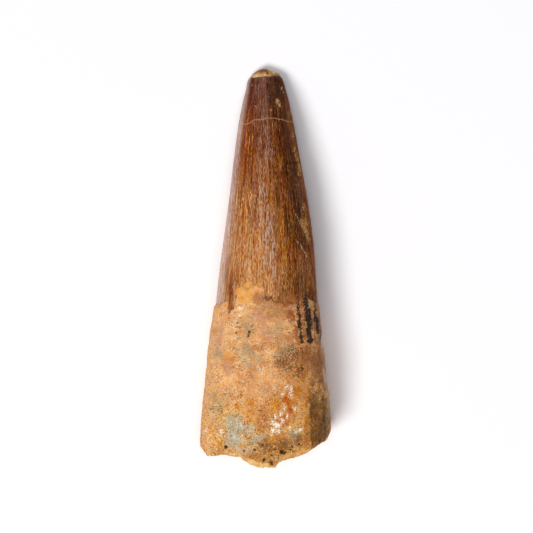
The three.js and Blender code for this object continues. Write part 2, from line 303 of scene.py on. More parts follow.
# The broken end and the worn tip. The root broke off across its pulp cavity, which stone fills to a little
# below the break. The tip is worn through the enamel to an uneven, pitted dome of dentine, whose top is off
# to the left.
#
# The break line is (across, station), the worn tip's rim (angle, station), and its pits (x, z, radius,
# depth).
break_line = [
    (-16.6, 93.0), (-16.2, 95.2), (-15.4, 96.4), (-14.2, 97.1), (-10.6, 96.7), (-8.2, 97.0), (-6.2, 97.3),
    (-5.0, 98.5), (-3.7, 99.1), (-2.0, 99.8), (-0.7, 100), (0.8, 99.9), (2.4, 100), (3.2, 98.9),
    (4.4, 98.1), (6.2, 97.5), (7.9, 97.2), (9.4, 96.6), (10.6, 96.0), (11.6, 95.3), (13.2, 94.0),
    (15.2, 93.9), (15.8, 92.9), (16.6, 90.8),
]
BREAK_SECTION = LENGTH - 3
RIM_SECTION = LENGTH - 4
CREST_HEIGHT = 0.62  # the break's crest, as a share of the half-depth above the middle
CREST_WIDTH = 0.3
TOP_BEVEL = (0.4, 1.3)
TOP_BEVEL_CHANGES = (-12, -2)
BELLY_BEVEL = 1.6
BELLY_HEIGHT = 0.5
BEVEL_END = 0.96
BREAK_ROUGHNESS = 0.35
BREAK_LUMP_SHRINK = 1.4
BREAK_GRIT = 0.22
PULP_STATION = LENGTH - 2.2
PULP_SHARE = 0.56
PULP_STEP = 0.1
PULP_WOBBLE = 0.05
PULP_DEPTH = 1.8
PULP_GRIT = 0.2
FACET_CENTRE = 1.7
FACET_SHIFT = -0.6
FACET_ROUNDING = (1.6, 2.4)
facet_line = line_through([
    (-180, 1.5), (-90, 1.5), (-66, 2.2), (-42, 2.5), (-9, 2.25), (13, 2.0), (39, 1.75), (62, 1.9), (90, 1.6),
    (180, 1.5),
])
facet_pits = [(1.4, 3.2, 1.5, 0.35), (0.8, 4.6, 0.7, 0.4), (1.1, 5.0, 0.3, 0.4)]
FACET_CHIPS = 0.12


def break_station(x, z):
    """The station of the broken end. Its crest follows the break line, it leans back towards the top and the
    belly, its lumps sink away from the crest, and fine grit covers all of it."""
    _, centre_z, _, half_depth = section_at(np.full_like(x, BREAK_SECTION))
    up = (z - centre_z) / half_depth
    top_bevel = TOP_BEVEL[0] + (TOP_BEVEL[1] - TOP_BEVEL[0]) * ease(x, *TOP_BEVEL_CHANGES)
    lean_back = top_bevel * ease(up, CREST_HEIGHT, BEVEL_END)
    lean_back = lean_back + BELLY_BEVEL * ease(-up, BELLY_HEIGHT, BEVEL_END)
    off_crest = ease(np.abs(up - CREST_HEIGHT), 0, CREST_WIDTH)
    coarse = BREAK_ROUGHNESS * (lumps(BREAK_LUMP_SHRINK * x, 3, BREAK_LUMP_SHRINK * z) - 1) * off_crest
    fine = BREAK_GRIT * (rough(np.stack((x, 0 * x, z), axis=-1), 0.8, 51, 3) - 0.9)
    return np.interp(x, *np.array(break_line, float).T) - lean_back + coarse + fine


def facet_station(angle):
    """The station of the worn tip's rim: its smooth line, notched by two sine waves round the tooth."""
    rim = facet_line(angle) + 0.06 * np.sin(np.radians(13 * angle))
    return rim + 0.04 * np.sin(np.radians(31 * angle + 50))


def break_rim(angle):
    """The side's rim at the break: its station, x and z."""
    station = break_station(*side_point(angle, np.full_like(angle, RIM_SECTION)))
    return station, *side_point(angle, station)


def break_point(angle, share):
    """A place on the broken face, a share of the way out to its rim: dentine round the edge, and inside it
    the sunken stone that fills the pulp cavity."""
    _, rim_x, rim_z = break_rim(angle)
    centre_x, centre_z, _, _ = section_at(np.full_like(angle, BREAK_SECTION))
    x, z = centre_x + (rim_x - centre_x) * share, centre_z + (rim_z - centre_z) * share
    outward = ease(share, 0, PULP_SHARE)
    face = PULP_STATION * (1 - outward) + break_station(x, z) * outward
    wall = share + PULP_WOBBLE * rough(np.stack((x, 0 * x, z), axis=-1), 1.6, 52)
    in_cavity = 1 - ease(wall, PULP_SHARE - PULP_STEP / 2, PULP_SHARE + PULP_STEP / 2)
    grit = PULP_GRIT * rough(np.stack((x, 0 * x + 5, z), axis=-1), 0.7, 53, 2)
    return face - (PULP_DEPTH - grit) * in_cavity, x, z


def facet_point(angle, share):
    """A place on the worn tip, a share of the way out to its rim: its station grows as a power of the share,
    a higher one on the right."""
    rim_station = facet_station(angle)
    rim_x, rim_z = side_point(angle, rim_station)
    centre_x, centre_z, _, _ = section_at(np.full_like(angle, FACET_CENTRE))
    top_x = centre_x + FACET_SHIFT
    x, z = top_x + (rim_x - top_x) * share, centre_z + (rim_z - centre_z) * share
    to_right = (1 + np.sin(np.radians(angle))) / 2
    face = rim_station * share ** (FACET_ROUNDING[0] + (FACET_ROUNDING[1] - FACET_ROUNDING[0]) * to_right)
    for pit_x, pit_z, radius, depth in facet_pits:
        face = face + depth * (1 - ease(np.hypot(x - pit_x, z - pit_z) / radius, *PIT_WALL))
    chips = FACET_CHIPS * rough(np.stack((x, 0 * x, z), axis=-1), 0.7, 54, 2) * ease(share, 0, 0.3)
    return np.maximum(0, face + chips), x, z


# The skin, all in one from the middle of the break, along the sides and over the tip. Its columns are
# closer together on the upper side, and its rows at the enamel's edge, at the tip and at the break. Towards
# both ends the rows are shared out anew, so that the last one follows the rim.
COLUMNS = 300
CROWDING = 25  # degrees by which the columns are drawn to the top
side_rows = [(0, 6, 24), (6, 56, 120), (56, 63, 28), (63, 90, 92), (90, LENGTH, 40)]
break_shares = [0, 0.13, 0.26, 0.38, 0.48, 0.53, 0.57, 0.61, 0.66, 0.71, 0.77, 0.83, 0.89, 0.95]
facet_shares = [0.93, 0.82, 0.7, 0.56, 0.42, 0.28, 0.14, 0]
TIP_ZONE = 6.0
BREAK_ZONE = 84.0

step = np.arange(COLUMNS) / COLUMNS
column_angle = turn(0, 360 * step - CROWDING * np.sin(2 * np.pi * step))
zones = [np.linspace(low, high, rows + 1)[1:] for low, high, rows in side_rows]
nominal = np.concatenate([[0.0]] + zones)[::-1]
angle, nominal = np.meshgrid(column_angle, nominal)
rim_station = break_rim(column_angle)[0]
station = np.where(
    nominal > BREAK_ZONE,
    BREAK_ZONE + (nominal - BREAK_ZONE) * (rim_station - BREAK_ZONE) / (LENGTH - BREAK_ZONE),
    nominal,
)
tip_rim = facet_station(column_angle)
station = np.where(nominal < TIP_ZONE, tip_rim + nominal * (TIP_ZONE - tip_rim) / TIP_ZONE, station)
x, z = side_point(angle, station)
side = np.stack((station, x, z), axis=-1)
ends = [
    np.stack([np.stack(place(column_angle, np.full(COLUMNS, share)), axis=-1) for share in shares])
    for place, shares in ((break_point, break_shares), (facet_point, facet_shares))
]
skin = np.concatenate((ends[0], side, ends[1]))
skin[0], skin[-1] = skin[0].mean(axis=0), skin[-1].mean(axis=0)
station, x, z = np.moveaxis(skin, -1, 0)
angle = np.broadcast_to(column_angle, station.shape)
row = np.arange(len(skin))[:, None] * np.ones(COLUMNS)
share_out = np.concatenate((break_shares, np.ones(len(side)), facet_shares))[:, None] * np.ones(COLUMNS)
on_break = row < len(break_shares)
on_facet = row >= len(break_shares) + len(side)

ring = np.arange(1, len(skin) - 1)[:, None] * COLUMNS + np.arange(COLUMNS)
after = np.roll(ring, -1, axis=1)
quads = np.stack((ring[:-1], after[:-1], after[1:], ring[1:]), axis=-1).reshape(-1, 4)
last = len(skin) - 1
base_fan = np.stack((np.full(COLUMNS, 0), after[0], ring[0]), axis=-1)
tip_fan = np.stack((np.full(COLUMNS, last * COLUMNS), ring[-1], after[-1]), axis=-1)
kept = np.concatenate(([0], np.arange(COLUMNS, last * COLUMNS), [last * COLUMNS]))
number = np.zeros(len(skin) * COLUMNS, int)
number[kept] = np.arange(len(kept))
points = np.stack((x, TIP_Y - station, z), axis=-1).reshape(-1, 3)[kept] * MM

tooth_mesh = bpy.data.meshes.new("fossil_tooth")
faces = [face for part in (quads, base_fan, tip_fan) for face in number[part].tolist()]
tooth_mesh.from_pydata(points.tolist(), [], faces)
tooth_mesh.shade_smooth()
tooth = bpy.data.objects.new("fossil_dinosaur_tooth", tooth_mesh)
bpy.context.scene.collection.objects.link(tooth)


def keep_field(name, values, kind="FLOAT"):
    """Stores numbers, or vectors, at the points of the skin, for the material to read."""
    attribute = tooth_mesh.attributes.new(name, kind, "POINT")
    flat = values.reshape(len(skin) * COLUMNS, -1)[kept].astype(np.float32).ravel()
    attribute.data.foreach_set("value" if kind == "FLOAT" else "vector", flat)


# What the material reads: a place on the straight grain, distances to edges, and where things lie. Marks
# reach down to a torn line below mid-height, and above it the left flank takes a painted pale sheen.
NO_ENAMEL = -9.0
TEAR_HEIGHT = 1.3
TEAR_WIDTH = 2.6
MARKS_FADE = (-3.0, -0.8)
PAINTED_SHEEN_ACROSS = (8.2, 10.9)
PAINTED_SHEEN_UP = (-3.0, 0.0)

round_tooth = np.radians(angle)
grain = GRAIN_RADIUS * np.stack((np.sin(round_tooth), station / GRAIN_RADIUS, np.cos(round_tooth)), axis=-1)
keep_field("grain", grain, "FLOAT_VECTOR")
keep_field("enamel", np.where(on_break, NO_ENAMEL, enamel_past(angle, station, x, z)))
keep_field("station", station)
keep_field("break", np.where(on_break, 1.0, 0.0))
keep_field("facet", np.where(on_facet, 1.0, 0.0))
keep_field("pulp", np.where(on_break, PULP_SHARE - share_out, -1.0))
torn_height = TEAR_HEIGHT * rough(np.stack((x, station, z), axis=-1), TEAR_WIDTH, 61, 3)
above_middle = z - section_at(station)[1]
upper = ease(above_middle + torn_height, *MARKS_FADE)
keep_field("upper", upper)
to_left = -GRAIN_RADIUS * np.sin(round_tooth)
# Painted sheen: the upper left flank, where the enamel would mirror the lit paper.
keep_field("painted_sheen", ease(to_left, *PAINTED_SHEEN_ACROSS) * ease(above_middle, *PAINTED_SHEEN_UP))
keep_field("crack", station - np.interp(x, *np.array(crack_line, float).T))

# The tooth's one material: enamel and dentine turned to stone, stained by iron and manganese. Its colours
# are those it has in even white light, save for a few marks of painted light and shade, named so.
fossil = bpy.data.materials.new("fossil enamel and dentine")
fossil.use_nodes = True
tree = fossil.node_tree
tree.nodes.clear()


def linear(code, alpha=1.0):
    """A linear colour from an sRGB hex code: a channel c is c / 12.92 up to 0.04045, and
    ((c + 0.055) / 1.055) ** 2.4 above."""
    shades = [int(code[i : i + 2], 16) / 255 for i in (1, 3, 5)]
    return *(c / 12.92 if c <= 0.04045 else ((c + 0.055) / 1.055) ** 2.4 for c in shades), alpha


def add(kind, feeds=(), stops=(), **settings):
    """Adds a node with its settings. Each feed is an input's name or number, and a value, an output, or a
    node, which stands for its first output in use. Stops are a ramp's (place, colour) pairs."""
    made = tree.nodes.new(kind)
    for name, value in settings.items():
        setattr(made, name, value)
    for i, (place, colour) in enumerate(stops):
        if i >= len(made.color_ramp.elements):
            made.color_ramp.elements.new(place)
        made.color_ramp.elements[i].position = place
        made.color_ramp.elements[i].color = linear(colour)
    for name, value in dict(feeds).items():
        inputs = [socket for socket in made.inputs if socket.enabled]
        socket = inputs[name] if isinstance(name, int) else next(s for s in inputs if s.name == name)
        if isinstance(value, bpy.types.Node):
            value = next(output for output in value.outputs if output.enabled)
        if isinstance(value, bpy.types.NodeSocket):
            tree.links.new(value, socket)
        else:
            socket.default_value = linear(value) if isinstance(value, str) else value
    return made


def field(name):
    """A number kept at the points of the skin."""
    return add("ShaderNodeAttribute", attribute_name=name).outputs["Fac"]


def clouds(place, width, length, seed, detail=2.0):
    """Noise from 0 to 1, with cells of a width across the tooth and a length along it, in mm. A seed shifts
    it to a part of the noise of its own."""
    shift = (7.3 * seed, 3.1 * seed, 5.7 * seed)
    feeds = {0: place, 1: (1 / width, 1 / length, 1 / width), 2: shift}
    cells = add("ShaderNodeVectorMath", feeds, operation="MULTIPLY_ADD")
    return add("ShaderNodeTexNoise", {"Vector": cells, "Scale": 1.0, "Detail": detail, "Roughness": 0.55})


def spread(under, colour, where, low, high, most=1.0):
    """Lays a colour over another: none of it where a value is low, and a share of `most` where it is high,
    eased between them."""
    feeds = {"Value": where, "From Min": low, "From Max": high, "To Max": most}
    share = add("ShaderNodeMapRange", feeds, interpolation_type="SMOOTHSTEP")
    return add("ShaderNodeMix", {"Factor": share, "A": under, "B": colour}, data_type="RGBA")


def deepen(colour, where, low, high, least, most):
    """Stains a colour more or less deeply: each channel is raised to a power from least to most."""
    feeds = {"Value": where, "From Min": low, "From Max": high, "To Min": least, "To Max": most}
    return add("ShaderNodeGamma", {"Color": colour, "Gamma": add("ShaderNodeMapRange", feeds)})


def enrich(colour, where, least, most):
    """Makes a colour greyer or richer by a noise: its saturation is multiplied by a number from least to
    most."""
    feeds = {"Value": where, "From Min": 0.34, "From Max": 0.66, "To Min": least, "To Max": most}
    return add("ShaderNodeHueSaturation", {"Color": colour, "Saturation": add("ShaderNodeMapRange", feeds)})


grain_place = add("ShaderNodeAttribute", attribute_name="grain").outputs["Vector"]
object_place = add("ShaderNodeTexCoord").outputs["Object"]
place = add("ShaderNodeVectorMath", {0: object_place, "Scale": 1 / MM}, operation="SCALE")
along = add("ShaderNodeMath", {0: field("station"), 1: LENGTH}, operation="DIVIDE")
round_x = add("ShaderNodeSeparateXYZ", {0: grain_place}).outputs["X"]

# Enamel: iron-stained brown, chestnut at the tip and tan at the base, darker on the right, painted pale on
# its left flank as a painted sheen, and warmer at its right edge. It grew in long fibres, which give it
# bands, streaks and hairs along the tooth. Each stop of a ramp is a share of the length.
left_crown = add("ShaderNodeValToRGB", {0: along}, [
    (0.03, "#74402b"), (0.12, "#7a4426"), (0.21, "#8c5024"),
    (0.35, "#ab6f3e"), (0.47, "#c08652"), (0.59, "#bd844c"),
])
right_crown = add("ShaderNodeValToRGB", {0: along}, [
    (0.03, "#58301f"), (0.12, "#5a2c12"), (0.21, "#5d2a07"),
    (0.35, "#6c3409"), (0.47, "#804412"), (0.59, "#865020"),
])
bands = clouds(grain_place, 1.6, 24, 1)
streaks = clouds(grain_place, 0.4, 11, 2)
fibres = clouds(grain_place, 0.17, 3.6, 3)
hairs = clouds(grain_place, 0.16, 0.9, 4, 1.0)
flank = add("ShaderNodeMath", {0: bands, 1: 7.0, 2: round_x}, operation="MULTIPLY_ADD")
crown = spread(left_crown, right_crown, flank, 3.6, 9.5)
# Painted sheen: pale paint on the upper left flank, standing in for a reflection of the lit paper.
crown = spread(crown, "#e2c6b8", field("painted_sheen"), 0.0, 1.0, 0.62)
crown = spread(crown, "#98551a", round_x, 8.0, 10.6, 0.6)

# Dentine: ochre and grainy, with broad paler and browner parts, deeper in colour towards the break.
broad = clouds(place, 5.5, 5.5, 11, 3.0)
torn = clouds(place, 2.0, 2.0, 12, 6.0)
mottle = clouds(place, 1.1, 1.3, 17, 3.0)
grit = clouds(place, 0.42, 0.42, 13, 2.0)
sand = clouds(place, 0.2, 0.2, 14, 1.0)
root = add("ShaderNodeValToRGB", {0: broad}, [(0.35, "#da945a"), (0.5, "#e4a466"), (0.65, "#ebb374")])
base_root = add("ShaderNodeValToRGB", {0: broad}, [(0.35, "#bd8039"), (0.5, "#cc9347"), (0.65, "#daa658")])
root = spread(root, base_root, along, 0.76, 0.9)

# Stains of the dentine: colour, width, length, seed and detail of its clouds, where they start and are
# full, and the share that they then take.
root_stains = {
    "orange iron smudges": ("#cb7a2a", 2.6, 3.4, 15, 4.0, 0.5, 0.72, 0.65),
    "greenish grey haze": ("#a5906a", 3.0, 3.0, 16, 4.0, 0.54, 0.76, 0.42),
    "browner parts": ("#b47845", 2.2, 3.0, 20, 4.0, 0.54, 0.74, 0.42),
    "cream crumbs": ("#ecc68c", 0.7, 0.9, 18, 3.0, 0.56, 0.72, 0.6),
    "brown crumbs": ("#8d5a2c", 0.6, 0.8, 19, 3.0, 0.58, 0.74, 0.55),
}
for stain, wide, long, seed, detail, starts, full, share in root_stains.values():
    root = spread(root, stain, clouds(place, wide, long, seed, detail), starts, full, share)

# The root's left flank is painted paler: painted light from the lamp on its left. Growth folds are thin
# brown lines, each with a cream one beside it, where a noise passes a level.
root = spread(root, "#f3b676", round_x, -7.0, -10.6, 0.65)
folds = clouds(place, 2.6, 2.0, 21, 3.0)
FOLD_REACH = 0.014
fold_lines = [
    (0.5, "#84532a", 0.6), (0.475, "#f2d6a4", 0.6), (0.59, "#84532a", 0.5), (0.565, "#f2d6a4", 0.5),
]
for level, tint, share in fold_lines:
    on_line = add("ShaderNodeMath", {0: folds, 1: level, 2: FOLD_REACH}, operation="COMPARE")
    root = spread(root, tint, on_line, 0.0, 1.0, share)

# Marks of staining, wear and damage, and some of painted light and shade, named so: (colour, how ragged in
# mm, how soft in mm, share, spots). A spot is (across, station, half-width, half-length, lean in degrees),
# seen from above. Those on the enamel come first, then painted glints, which stay pale because they are
# laid after the enamel is deepened, and those on the root. The top marks lie over both, and the fine ones
# are torn by finer noises.
enamel_marks = {
    # Painted sheen: a grey-violet veil standing in for the lamp's reflection down the crown's middle.
    "painted violet sheen": ("#86695c", 1.6, 1.2, 0.28, [
        (-0.9, 7, 1.6, 6.5, 0), (-0.9, 18, 2.2, 9, 0), (-2.4, 31, 2.0, 8, 3), (1.2, 42, 1.1, 7, 2),
    ]),
    # Painted highlight: lavender dashes standing in for the overhead lamp's reflection on the top line.
    "painted lavender highlight": ("#ae978a", 4.0, 0.6, 0.18, [
        (0.3, 21.3, 0.3, 1.2, 0), (1.9, 22.0, 0.25, 1.0, 0), (-0.9, 30.6, 0.3, 1.4, 0),
        (0.5, 35.4, 0.45, 0.9, 0), (0.4, 37.0, 0.35, 1.4, 0), (1.2, 39.9, 0.5, 1.5, 0),
        (-1.3, 40.5, 0.3, 1.1, 0), (0.3, 43.3, 0.55, 1.2, 0), (1.9, 46.9, 0.4, 1.4, 0),
        (0.2, 48.4, 0.3, 1.0, 0), (1.8, 51.9, 0.55, 1.6, 0), (3.0, 51.8, 0.3, 1.0, 0),
    ]),
    "dark red streak near the tip": ("#5e1d08", 0.9, 0.4, 0.8, [
        (-3.5, 7.0, 0.6, 5.4, 5), (-4.2, 12.0, 0.35, 3.0, 6),
    ]),
    "red-brown streaks": ("#743213", 1.6, 0.6, 0.7, [
        (-4.6, 18.0, 0.9, 8.0, 6), (-3.4, 22.0, 0.5, 5.0, 5), (-2.4, 14.0, 0.5, 4.0, 4),
    ]),
    "dark red lines": ("#4a1d0a", 0.5, 0.16, 0.7, [
        (-4.8, 23, 0.12, 6, 5), (-4.0, 21, 0.11, 6, 5), (-3.2, 24, 0.11, 5, 4), (-5.3, 29, 0.11, 5, 5),
        (-2.6, 22, 0.1, 5, 3), (-3.5, 31, 0.1, 5, 4), (-6.1, 33, 0.1, 5, 5),
    ]),
    "orange lines": ("#cc7420", 0.5, 0.16, 0.75, [
        (-4.4, 22, 0.11, 5, 5), (-3.6, 24, 0.1, 4.5, 4), (-5.1, 20, 0.11, 5, 6), (-2.9, 27, 0.1, 4, 4),
        (-4.0, 30, 0.1, 4, 4), (-5.6, 27, 0.1, 5, 5), (-4.8, 34, 0.1, 4, 4),
    ]),
    "orange glow": ("#b8560f", 1.6, 0.4, 0.4, [
        (-5.0, 15.5, 0.35, 2.4, 6), (-5.0, 20.0, 0.4, 2.2, 6), (-5.3, 23.0, 0.25, 2.0, 6),
    ]),
    "dark flank": ("#40230d", 2.0, 0.9, 0.62, [
        (6.0, 27.5, 0.9, 9.5, -6), (8.4, 54.7, 1.3, 2.6, -6), (3.9, 6.0, 1.2, 4.0, -5),
        (9.5, 44.2, 1.7, 2.3, -25), (7.9, 36.0, 0.9, 4.0, -8), (4.6, 17.0, 0.7, 5.0, -6),
        (2.2, 6.5, 0.6, 4.5, -2), (8.6, 33.5, 1.0, 3.2, -8), (7.4, 24.0, 0.8, 5.0, -8),
        (11.3, 57.5, 1.0, 2.0, -6), (2.7, 28.5, 0.5, 7.0, -3), (5.8, 40.0, 0.7, 4.5, -5),
        (7.4, 41.5, 0.6, 4.0, -6), (1.0, 6.0, 0.5, 3.5, -2),
    ]),
    "chestnut tongues": ("#7a3c1c", 2.0, 0.5, 0.7, [
        (-8.4, 55.9, 0.8, 4.3, 3), (-8.3, 60.1, 0.5, 1.6, 3), (-7.2, 53.0, 0.5, 3.0, 3),
        (-9.6, 53.0, 0.4, 3.0, 4),
    ]),
    "amber streaks": ("#b06a18", 1.2, 0.4, 0.7, [
        (3.7, 24.6, 0.4, 1.8, -4), (4.1, 40.6, 0.4, 3.8, -5), (4.6, 47.1, 0.4, 2.8, -5),
        (2.4, 25, 0.2, 3, -4), (1.4, 33.5, 0.25, 1.8, -4),
    ]),
    "ochre flecks": ("#d6a561", 1.0, 0.3, 0.7, [
        (-1.1, 28.2, 0.1, 1.8, 2), (-1.3, 32.2, 0.1, 1.6, 2), (-3.8, 34.4, 0.1, 1.4, 3),
        (-6.2, 36.5, 0.2, 0.9, 5), (-5.5, 33.3, 0.1, 1.2, 5), (-7.2, 33.6, 0.1, 1.2, 5),
        (-1.5, 34.6, 0.1, 1.2, 2), (-4.5, 39.1, 0.1, 1.2, 3),
    ]),
    "worn patch on the right edge": ("#8a5a36", 3.4, 0.8, 0.55, [
        (8.9, 30.2, 1.0, 2.4, 0), (10.6, 50.3, 0.9, 2.0, 0),
    ]),
    "pale scratches": ("#c99c66", 0.3, 0.12, 0.8, [
        (7.85, 37.75, 0.1, 1.3, -28), (8.3, 44.4, 0.13, 1.1, -45), (9.4, 46.1, 0.2, 1.4, -35),
        (10.3, 47.7, 0.16, 0.9, -38),
    ]),
}
glints = {
    # Painted glints: pale flecks standing in for the overhead lamp's reflection on the crown's top.
    "painted lavender glints": ("#bea89b", 1.8, 0.4, 0.5, [
        (0.7, 35.3, 0.35, 0.5, 0), (0.5, 37.2, 0.22, 0.9, 0), (-0.9, 36.4, 0.12, 0.6, 0),
        (1.2, 39.6, 0.3, 0.9, 0), (0.4, 41.6, 0.26, 0.7, 0), (0.1, 44.0, 0.26, 0.9, 0),
        (1.9, 44.8, 0.3, 0.8, 0), (1.9, 47.2, 0.22, 0.8, 0), (0.2, 48.4, 0.2, 0.6, 0),
        (1.8, 51.6, 0.3, 1.0, 0), (-0.6, 30.4, 0.16, 0.9, 0), (1.6, 21.6, 0.16, 0.7, 0),
    ]),
}
root_marks = {
    "ochre crust": ("#e2a254", 3, 0.5, 0.9, ochre_crust),
    "pinkish wear": ("#c08a68", 5, 1.6, 0.7, [
        (-1.4, 57.8, 1.1, 1.0, 0), (-9.2, 74.3, 1.2, 1.6, 0), (-1.2, 62.4, 1.8, 2.6, 0),
        (-11.5, 68.0, 1.0, 3.0, 0), (0.6, 66.5, 1.6, 1.6, 0),
    ]),
    "stained root under the enamel": ("#a46a3c", 3.6, 1.8, 0.65, [
        (3.6, 60.4, 4.4, 2.3, 0), (0.8, 59.5, 2.0, 1.8, 0), (-1.6, 58.0, 1.6, 1.6, 0),
        (6.4, 58.8, 2.0, 2.0, 0),
    ]),
    "grey wash": ("#a98a62", 4, 1.8, 0.55, [
        (-4.4, 65.0, 1.5, 3.4, 4), (3.2, 65.5, 1.2, 2.2, 0), (4.2, 70.5, 1.6, 2.4, 0),
    ]),
    "maroon streak": ("#9a522c", 3.4, 0.9, 0.85, [(6.3, 61.8, 0.95, 3.0, -14), (7.5, 66.2, 0.7, 2.6, -10)]),
    "brown lens": ("#b06c3a", 5, 1.3, 0.6, [
        (-2.4, 70.4, 1.5, 1.0, 0), (-0.8, 87.6, 1.5, 2.4, 0), (-3.3, 77.5, 1.2, 2.8, 0),
        (0.5, 80.0, 1.6, 1.6, 0), (6.2, 67.4, 1.1, 2.2, 0),
    ]),
    "iron between the stripes": ("#9a5c28", 3.0, 1.0, 0.7, [
        (9.4, 63.5, 0.7, 5.4, -6), (11.8, 63.8, 0.6, 5.0, -9), (13.4, 64.0, 0.6, 4.0, -10),
    ]),
    "brown side": ("#92582c", 6, 2.4, 0.8, [
        (12.9, 74.2, 2.4, 5.2, -8), (13.9, 63.0, 1.2, 5.0, -8), (10.0, 72.5, 1.9, 4.0, 0),
        (9.6, 63.5, 1.0, 5.0, -8), (11.6, 80.0, 1.0, 3.4, -4), (8.0, 72.5, 1.2, 2.2, 0),
        (9.0, 75.5, 1.4, 2.6, 0),
    ]),
    "orange iron": ("#cb822e", 7, 2.6, 0.8, [
        (6.6, 80.9, 2.6, 3.6, 0), (9.3, 82.0, 1.2, 7.5, -4), (5.4, 86.5, 2.2, 3.0, 0),
        (-8.5, 72.4, 1.1, 0.9, 0), (2.6, 84.5, 1.2, 2.6, 0), (3.4, 91.0, 1.6, 1.0, 0),
        (-3.6, 85.0, 1.4, 2.0, 0),
    ]),
    "tan wash": ("#e2b07a", 5, 2.0, 0.5, [(-1.0, 80.0, 3.6, 3.2, 0), (-5.5, 95.2, 2.4, 0.9, 0)]),
    # Painted light: a paler golden patch that lightens the shaded lower right of the root.
    "painted golden light low on the right": ("#e4b06c", 5, 2.0, 0.6, [(7.2, 91.6, 2.6, 2.4, 0), (9.4, 88.0, 1.2, 3.0, 0)]),
    "rust": ("#b1511b", 5, 0.8, 0.85, [
        (4.4, 89.2, 0.5, 0.4, 0), (4.7, 81.6, 0.7, 0.7, 0), (6.0, 84.6, 0.3, 1.4, 0),
        (5.6, 88.7, 0.7, 0.7, 0), (6.8, 80.2, 0.5, 0.5, 0), (4.6, 86.6, 0.3, 0.4, 0),
    ]),
    "grey-green haze": ("#959272", 6.5, 2.0, 0.58, [
        (-4.8, 71.4, 1.7, 1.1, 0), (-2.8, 72.0, 1.4, 1.0, 0), (-4.2, 74.2, 1.4, 0.9, 0),
        (-12.2, 84.0, 1.0, 2.4, 0), (-11.8, 71.6, 0.6, 0.7, 0), (6.4, 70.6, 0.6, 0.8, 0),
    ]),
    "sand crust": ("#b6aa8c", 4.2, 1.0, 0.85, sand_crust),
    "blue-grey heart": ("#c3bda8", 5, 1.4, 0.5, [
        (-6.8, 89.4, 1.0, 0.9, 0), (-4.0, 91.8, 1.3, 0.7, -20), (-7.4, 92.4, 0.9, 0.9, 0),
        (-5.0, 95.0, 2.0, 0.7, 0),
    ]),
    "orange margin of the scar": ("#cd8a3e", 2.4, 0.5, 0.8, [(10.2, 87.5, 0.5, 6.0, 0)]),
    "olive scar": ("#9a703c", 2.4, 0.5, 0.9, [(12.4, 88.0, 1.7, 8.0, 0), (14.4, 88.5, 1.8, 7.5, -4)]),
    "iron in the scar": ("#a4641f", 9, 1.4, 0.6, [(12.2, 89.0, 1.2, 4.0, 0)]),
    "dark floor of the scar": ("#453017", 6, 1.2, 0.5, [
        (12.6, 92.0, 1.6, 1.8, 0), (14.6, 88.0, 0.7, 5.0, -4), (11.6, 85.0, 0.6, 2.0, 0),
    ]),
    "dust at the scar's edge": ("#b0937c", 3, 0.8, 0.5, [(15.6, 88.0, 0.3, 4.0, -3)]),
}
top_marks = {
    # Painted reflection: a thin pale line along the root's right edge, where it would mirror the paper.
    "painted reflection along the right edge": ("#b8a59c", 2.4, 0.6, 0.5, [
        (13.6, 66.5, 0.3, 5.0, -7), (14.6, 73.0, 0.25, 3.0, -6), (15.9, 83.5, 0.25, 5.0, -5),
    ]),
    "chips near the tip": ("#cfa06a", 0.8, 0.2, 0.85, [
        (3.1, 8.6, 0.45, 0.6, -25), (3.4, 9.5, 0.35, 0.5, -20), (4.1, 5.1, 0.16, 0.38, 0),
        (4.5, 6.2, 0.16, 0.2, 0), (6.3, 11.0, 0.14, 0.16, 0), (1.4, 10.8, 0.14, 0.25, 0),
    ]),
    "hearts of the chips": ("#7a4a26", 0.8, 0.2, 0.8, [(3.4, 8.9, 0.16, 0.24, 0)]),
    "lime chip": ("#cfc2ae", 1.6, 0.35, 0.75, [(14.5, 76.2, 0.3, 1.1, -6), (14.9, 78.3, 0.34, 1.0, -8)]),
    "scratches on the root": ("#dcb98a", 0.3, 0.12, 0.7, [
        (11.0, 80.0, 0.12, 1.1, -28), (12.2, 81.3, 0.12, 1.0, -50), (4.2, 61.8, 0.12, 1.3, -38),
    ]),
    "manganese": ("#28231e", 1.5, 0.4, 0.95, [
        (8.4, 63.7, 0.34, 5.4, -5.3), (10.5, 63.2, 0.78, 5.6, -7), (12.6, 63.3, 0.52, 4.8, -11),
        (11.0, 68.4, 0.9, 0.8, 0), (8.9, 68.5, 0.5, 0.7, 0), (8.9, 75.1, 0.3, 0.6, 0),
        (10.0, 58.0, 0.6, 0.8, 0),
    ]),
    "dark bits at the enamel's edge": ("#6b4428", 2.4, 0.3, 0.8, [
        (0.7, 58.0, 0.7, 0.4, 0), (3.0, 58.0, 0.6, 0.3, 0),
    ]),
    # Painted shade: the pits are painted nearly black, for the shade that falls in them.
    "pits": ("#1e150c", 0.8, 0.3, 0.9, [
        (across, at, 0.9 * wide, 0.9 * wide, 0) for across, at, wide, _ in pits
    ]),
}
